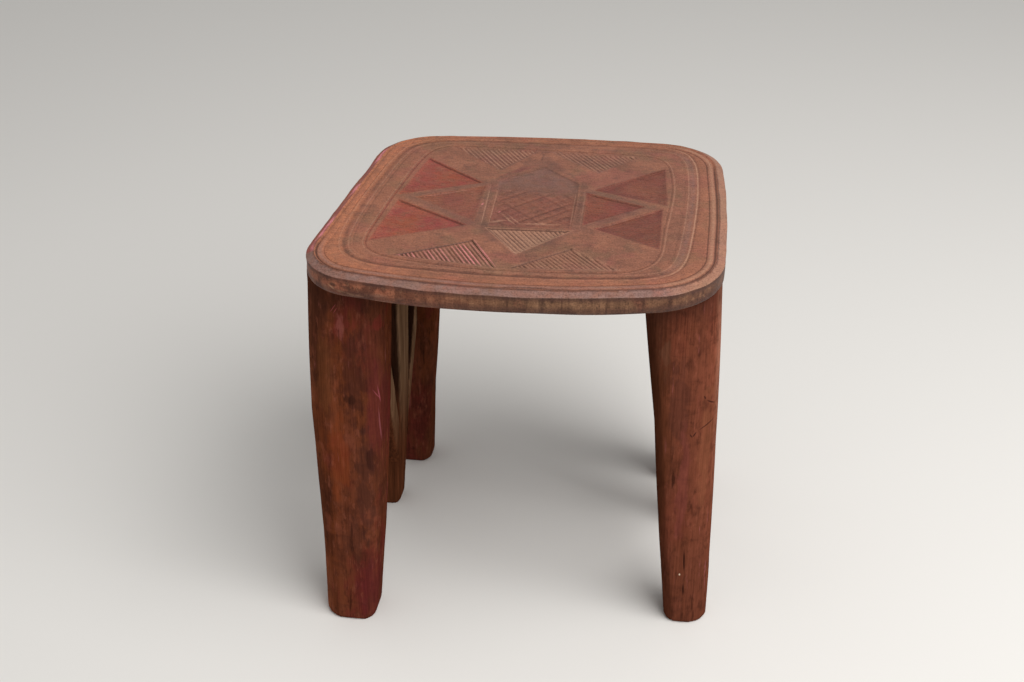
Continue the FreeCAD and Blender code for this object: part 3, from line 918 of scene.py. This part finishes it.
def carving(xs, ys):
    """The depth of all the carving at some points of the face, the marks left there, and the painted shade
    at the foot of the shapes' walls.
    """
    depth = np.zeros(len(xs))
    marks = {mark: np.zeros(len(xs)) for mark in ("red", "grey", "orange", "pale", "dark", "pink")}
    for corners, rubbed, shaded_sides in sunk_shapes.values():
        off = off_sides(corners, xs, ys)
        inside = off.min(axis=0)
        inward = inwards(corners)
        deepest = -sum(amount * inward[side] for side, amount in shaded_sides.items())
        falls = np.array(corners) @ deepest
        fall = part_way(xs * deepest[0] + ys * deepest[1], falls.min(), falls.max() - falls.min())
        wall = np.ones(len(xs))
        for side, distance in enumerate(off):
            slope = wall_width if side in shaded_sides else wall_width + shade_band_width
            wall = np.minimum(wall, part_way(distance, 0, slope))
        depth += wall * (floor_shallow + fall * (floor_deep - floor_shallow))
        rubbing = part_way(inside, -rubbed_over, 2 * rubbed_over)
        for mark, amount in rubbed.items():
            marks[mark] = np.maximum(marks[mark], rubbing * amount)
        for side, amount in shaded_sides.items():
            # Painted shade in a band at the foot of each shaded wall.
            beyond = part_way(off[side], wall_width, shade_band_width)
            wall_shade = part_way(off[side], 0, wall_width) * (1 - beyond)
            marks["dark"] = np.maximum(marks["dark"], wall_shade * amount * (inside > 0))
    shape_reach = np.max([within(shape[0], xs, ys) for shape in sunk_shapes.values()], axis=0)
    in_band = ~outside(np.array(star), xs, ys) & (shape_reach <= -rubbed_over)
    marks["dark"] = np.maximum(marks["dark"], band_dirt * in_band)
    marks["grey"] = np.maximum(marks["grey"], band_grey * in_band)
    for points, halves, deep, mark, strength, closed in knife_cuts:
        cut = np.zeros(len(xs))
        colouring = np.zeros(len(xs))
        for first, last in stretches(points, closed):
            distance, share = near_cut(xs, ys, points[first], points[last])
            half = halves[first] * (1 - share) + halves[last] * share
            here = (1 - part_way(distance, 0, half)) * half / halves.max()
            strong = strength[first] * (1 - share) + strength[last] * share
            cut = np.maximum(cut, here)
            colouring = np.maximum(colouring, here * strong)
        colouring = np.minimum(colouring, 1)
        if mark == "pale":
            marks["dark"] *= 1 - colouring
        elif mark == "dark" and not deep:
            marks["pale"] *= 1 - colouring
        depth += deep * cut
        marks[mark] = np.maximum(marks[mark], colouring)
    return depth, marks


face_points = []
face_edges = []


def set_out(points, closed):
    """Add a line to the drawing of the face."""
    first = len(face_points)
    face_points.extend(Vector((x, y)) for x, y in points)
    face_edges.extend((first + start, first + stop) for start, stop in stretches(points, closed))


set_out(rim_line, True)
for corners, rubbed, shaded_sides in sunk_shapes.values():
    set_out(corners, True)
    for distance in (-rubbed_over, wall_width, wall_width + shade_band_width):
        set_out(inset(corners, distance), True)
for points, halves, deep, mark, strength, closed in knife_cuts:
    set_out(points, closed)
    for distance in (halves, -halves):
        set_out(alongside(points, distance, closed), closed)
face_step = 0.005
shape_room = 0.002
cut_room = 0.0025
inside_lines = 1
same_point = 0.000002
grid_lines = (np.arange(low, high, face_step) for low, high in zip(board_low[:2], board_high[:2]))
grid_x, grid_y = (axis.ravel() for axis in np.meshgrid(*grid_lines))
clear = np.full(len(grid_x), 1.0)
for points, closed, room in (
    [(rim_line, True, shape_room)]
    + [(np.array(corners), True, shape_room) for corners, rubbed, shaded_sides in sunk_shapes.values()]
    + [(points, closed, cut_room) for points, halves, deep, mark, strength, closed in knife_cuts]
):
    for first, last in stretches(points, closed):
        clear = np.minimum(clear, near_cut(grid_x, grid_y, points[first], points[last])[0] - room)
free = (clear > 0) & ~outside(rim_line, grid_x, grid_y)
face_points.extend(Vector((x, y)) for x, y in zip(grid_x[free], grid_y[free]))
drawing = delaunay_2d_cdt(face_points, face_edges, [], inside_lines, same_point)
places, triangles = drawing[0], drawing[2]

xs, ys = np.array(places).T
depth, marks = carving(xs, ys)
from_rim = np.full(len(xs), 1.0)
for first, last in stretches(rim_line, True):
    from_rim = np.minimum(from_rim, near_cut(xs, ys, rim_line[first], rim_line[last])[0])
face_swells = Vector((20, 20, 4.2))
face_swell = 0.0005
swell_from_rim = 0.006
rim_touch = 0.00005
rim_dirt = 0.9
swell = np.array([waviness(Vector((x, y, 1)), face_swells) for x, y in zip(xs, ys)])
depth += face_swell * swell * part_way(from_rim, 0, swell_from_rim)
at_rim = from_rim < rim_touch
marks["dark"][at_rim] = rim_dirt * rim_cut(np.column_stack([xs, ys]))[at_rim]
leftwards = part_way(-xs, 0.06, 0.11)
marks["orange"] = np.where(outside(outer_border, xs, ys), 0.35 + 0.65 * leftwards, 0.40 * leftwards)
in_middle = within(sunk_shapes["middle"][0], xs, ys) > -rubbed_over
marks["grey"] *= np.where(in_middle, np.maximum(0.15, part_way(ys, 0.02, 0.03)), 1)
marks["red"] *= np.where(in_middle, part_way(-ys, -0.045, 0.03), 1)

face_mesh = bpy.data.meshes.new("carved_face")
face_mesh.from_pydata([(x, y, surface - down) for x, y, down in zip(xs, ys, depth)], [], triangles)
face = bpy.data.objects.new("carved_face", face_mesh)
bpy.context.collection.objects.link(face)


def paint(mesh, name, *channels):
    """Store three marks on the vertices of a mesh."""
    layer = mesh.color_attributes.new(name, "FLOAT_COLOR", "POINT")
    values = np.column_stack(channels + (np.ones(len(mesh.vertices)),))
    layer.data.foreach_set("color", values.astype(np.float32).ravel())


paint(face_mesh, "rubbed", marks["red"], marks["grey"], marks["orange"])
paint(face_mesh, "lines", marks["pale"], marks["dark"], marks["pink"])

# The marks on the rim and the edge: red and pink along the left rim, the pink partly a painted highlight,
# grey wear and painted sheen along the front, paler on the right, a painted shadow below the arris, and
# darker with bare flecks along the lower edge.
wear_per_metre = Vector((45, 45, 60))
flecks_per_metre = Vector((60, 75, 300))
rim_top = 0.0002
pink_foot = 0.0015
rim_foot = 0.0035
arris_foot = 0.0065
lower_head = 0.0165
rim_marks = []
for vertex, down in zip(top.data.vertices, rim_drops):
    x, y, z = vertex.co
    worn = waviness(vertex.co, wear_per_metre)
    flecks = noise.noise(vertex.co * flecks_per_metre)
    left_rim = x < -0.168 and y > -0.125
    right_rim = part_way(x, 0.135, 0.03)
    # Grey along the front bevel is wear with a painted sheen.
    sheen_and_wear_rim = max(part_way(-y, -0.02, 0.08), 0.8 * right_rim)
    red = grey = orange = pale = dark = pink = 0
    if down < rim_foot:
        orange = 0.08
        red = 1 if left_rim else 0
        grey = 0 if left_rim else (0.65 + 0.35 * worn) * sheen_and_wear_rim * (1 - 0.8 * right_rim)
        pale = 0.45 * right_rim
        dark = rim_dirt * rim_cut(np.array([[x, y]]))[0] if down < rim_top else 0
        # The pink flecks on the left rim are pink colour brightened as a painted highlight.
        pink = min(1, max(0.08, 0.22 + 2.4 * flecks)) if left_rim and down < pink_foot else 0
    elif down < arris_foot:
        # Painted shadow just below the arris.
        dark = 0.9 - 0.3 * worn
    elif down > lower_head:
        dark = 0.5 + 0.4 * worn
        pale = min(1, max(0, 2.4 * flecks)) if x < -0.09 and y < 0 else 0
    rim_marks.append((red, grey, orange, pale, dark, pink))
rim_red, rim_grey, rim_orange, rim_pale, rim_dark, rim_pink = np.array(rim_marks).T
paint(top.data, "rubbed", rim_red, rim_grey, rim_orange)
paint(top.data, "lines", rim_pale, rim_dark, rim_pink)

seam_distance = 0.00003
bpy.ops.object.select_all(action="DESELECT")
face.select_set(True)
top.select_set(True)
bpy.context.view_layer.objects.active = top
bpy.ops.object.join()
bpy.ops.object.mode_set(mode="EDIT")
bpy.ops.mesh.select_all(action="SELECT")
bpy.ops.mesh.remove_doubles(threshold=seam_distance)
bpy.ops.mesh.normals_make_consistent(inside=False)
bpy.ops.object.mode_set(mode="OBJECT")
bpy.ops.object.shade_smooth_by_angle(angle=math.radians(18))

top_wood, tree, shader, place, spot, facing = new_wood("carved_top_wood")
pores = drawn_noise(tree, place, 720, 1, 3)
clouds = drawn_noise(tree, place, 30, 1, 9, (0.4, 0.2, 0))
scrape_run = add_node(tree, "Mapping", {"Vector": place, "Scale": (0.25, 1, 1)})
scrapes = add_node(tree, "TexNoise", {
    "Vector": scrape_run.outputs["Vector"], "Scale": 420, "Detail": 3,
}).outputs["Fac"]

# The face: plain wood in cloudy tones, with fine glints of paler wood.
plain = ramp(
    tree, clouds, (0.32, (126, 84, 67)), (0.5, (142, 92, 72)), (0.68, (157, 102, 78)),
)
plain = patched(tree, place, plain, (
    (480, 1, 4, (0.3, 0.8, 0.5), 0.56, 0.72, 0.40, (186, 134, 110)),
    (20, 1, 6, (0.1, 0.6, 0.3), 0.50, 0.62, 0.40, (150, 86, 76)),
    (26, 1, 6, (0.8, 0.3, 0.1), 0.50, 0.62, 0.45, (122, 93, 70)),
    (70, 1, 6, (0.5, 0.9, 0.2), 0.52, 0.68, 0.48, (104, 70, 60)),
))

# The edge: upright grain with stained patches, hollows and chips, redder towards the left, and a
# pale torn lip along the lower edge at the front left.
at_right_end = between(tree, spot["X"], 0.09, 0.16)
at_left_end = between(tree, spot["X"], 0.02, -0.12)
edge = ramp(
    tree, drawn_noise(tree, place, *streak_grain),
    (0.30, (98, 70, 54)), (0.5, (132, 98, 76)), (0.70, (154, 118, 94)),
)
stained_patches = (34, 0.8, 5, (0.2, 0.4, 0.1), 0.50, 0.64, 0.60, (128, 74, 62))
hollows = (75, 0.8, 7, (0.6, 0.2, 0.7), 0.50, 0.64, 0.65, (56, 34, 26))
edge_fibres = (260, 0.15, 6, (0.9, 0.5, 0.2), 0.48, 0.64, 0.55, (66, 38, 28))
dark_patches = (62, 0.7, 5, (0.4, 0.1, 0.8), 0.46, 0.56, 0.65, (72, 38, 28))
chips = (160, 0.8, 6, (0.1, 0.7, 0.4), 0.56, 0.68, 0.45, (164, 124, 98))
edge = patched(tree, place, edge, (stained_patches, hollows))
edge = washed(tree, edge, at_right_end, 0.6, (98, 60, 45))
edge = patched(tree, place, edge, (edge_fibres,))
edge = washed(tree, edge, at_left_end, 0.62, (178, 108, 84))
edge = patched(tree, place, edge, (dark_patches,), at_left_end)
edge = patched(tree, place, edge, (chips,))
torn_lip = (190, 150, 122)
edge = smudged(tree, place, edge, (
    ((-0.1565, -0.167, 0.3890), (0.0050, 0.03, 0.0024), -10, 1.6, 0.70, (58, 34, 27)),
    ((-0.1430, -0.170, 0.3880), (0.0060, 0.03, 0.0022), -10, 1.6, 0.60, (66, 36, 30)),
    ((-0.1577, -0.166, 0.3862), (0.0052, 0.03, 0.0012), -31, 1.4, 0.85, torn_lip),
    ((-0.1490, -0.169, 0.3836), (0.0056, 0.03, 0.0012), -6, 1.4, 0.85, torn_lip),
    ((-0.1395, -0.171, 0.3824), (0.0056, 0.03, 0.0010), -8, 1.4, 0.80, (186, 142, 116)),
    ((-0.1300, -0.173, 0.3816), (0.0054, 0.03, 0.0008), -2, 1.4, 0.70, (176, 130, 106)),
))
edge = blend(tree, 1.0, edge, (241, 231, 217), "MULTIPLY")
colour = blend(tree, between(tree, facing["Z"], 0.3, 0.85), edge, plain)

# The marks of the carving: rubbed-on colour, uneven as a hand leaves it, and the lines. The dark lines also
# carry the painted shade at the walls of the sunk shapes and the painted shadow below the arris.
rubbing = ramp(
    tree, drawn_noise(tree, place, 110, 1, 6, (0.3, 0.3, 0.9)),
    (0.34, (170, 170, 170)), (0.58, (255, 255, 255)),
)
red_stain = ramp(
    tree, drawn_noise(tree, place, 24, 1, 5, (0.7, 0.1, 0.2)),
    (0.4, (158, 70, 46)), (0.6, (150, 50, 56)),
)
rubbed, lines = (
    add_node(tree, "SeparateColor", {
        "Color": add_node(tree, "VertexColor", layer_name=layer).outputs["Color"],
    }).outputs for layer in ("rubbed", "lines")
)
for mark, share, tone in (
    (rubbed["Blue"], 0.75, (186, 116, 82)),
    (rubbed["Red"], 0.64, red_stain),
    (rubbed["Green"], 0.85, (136, 109, 102)),
):
    colour = blend(tree, times(tree, mark, share, rubbing), colour, tone)
for mark, share, tone in (
    (lines["Red"], 0.75, (190, 144, 118)),
    (lines["Green"], 0.85, (74, 45, 38)),
    (lines["Blue"], 0.9, (240, 142, 146)),
):
    colour = washed(tree, colour, mark, share, tone)
colour = toned_down(tree, colour, 0.48, pores, 0.32, 0.54, (96, 78, 72))
colour = toned_down(tree, colour, 0.22, scrapes, 0.32, 0.58, (116, 96, 88))
tree.links.new(colour, shader.inputs["Base Color"])
varied_roughness(tree, shader, clouds, 0.6, 0.44)
shader.inputs["Specular IOR Level"].default_value = 0.22
relief = calc(tree, "ADD", times(tree, pores, 0.5), times(tree, scrapes, 0.5))
rough_surface(tree, shader, relief, 0.0006, 0.6)
top.data.materials.append(top_wood)
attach(top, "root")
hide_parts("table_top")


# Studio floor
# A wide, plain, pale floor for the table to stand on. It isn't part of the table.
bpy.ops.object.select_all(action="DESELECT")
bpy.ops.mesh.primitive_plane_add(size=12, location=(0, 0, 0))
floor = bpy.context.active_object
floor.name = "studio_floor"
floor_paint = bpy.data.materials.new("floor_paint")
floor_paint.use_nodes = True
floor_looks = floor_paint.node_tree.nodes["Principled BSDF"].inputs
floor_looks["Base Color"].default_value = stain(226, 223, 218)
floor_looks["Roughness"].default_value = 0.9
floor.data.materials.append(floor_paint)


# Light
# Soft light from a wide lamp high above the front right, and an even glow all round, like a
# bright overcast day.
bpy.ops.object.light_add(type="AREA", location=(1.3, -1.0, 2.2))
lamp = bpy.context.active_object
lamp.name = "overhead_lamp"
lamp.data.size = 2.2
lamp.data.energy = 76
lamp.rotation_euler = (Vector((0, 0, 0.3)) - lamp.location).to_track_quat("-Z", "Y").to_euler()
surroundings = bpy.data.worlds.new("soft_surroundings")
surroundings.use_nodes = True
glow = surroundings.node_tree.nodes["Background"].inputs
glow["Color"].default_value = (1, 1, 1, 1)
glow["Strength"].default_value = 0.42
bpy.context.scene.world = surroundings


# Camera
# Eye height of someone standing a little to the right of the table's front, looking down.
camera_data = bpy.data.cameras.new("camera")
camera_data.sensor_width = 36
camera_data.lens = 52.03
camera = bpy.data.objects.new("camera", camera_data)
bpy.context.collection.objects.link(camera)
camera.location = (0.1696, -1.2870, 1.0)
camera.rotation_euler = (math.radians(59.955), 0, math.radians(8.4))
bpy.context.scene.camera = camera
bpy.context.scene.view_settings.view_transform = "Standard"
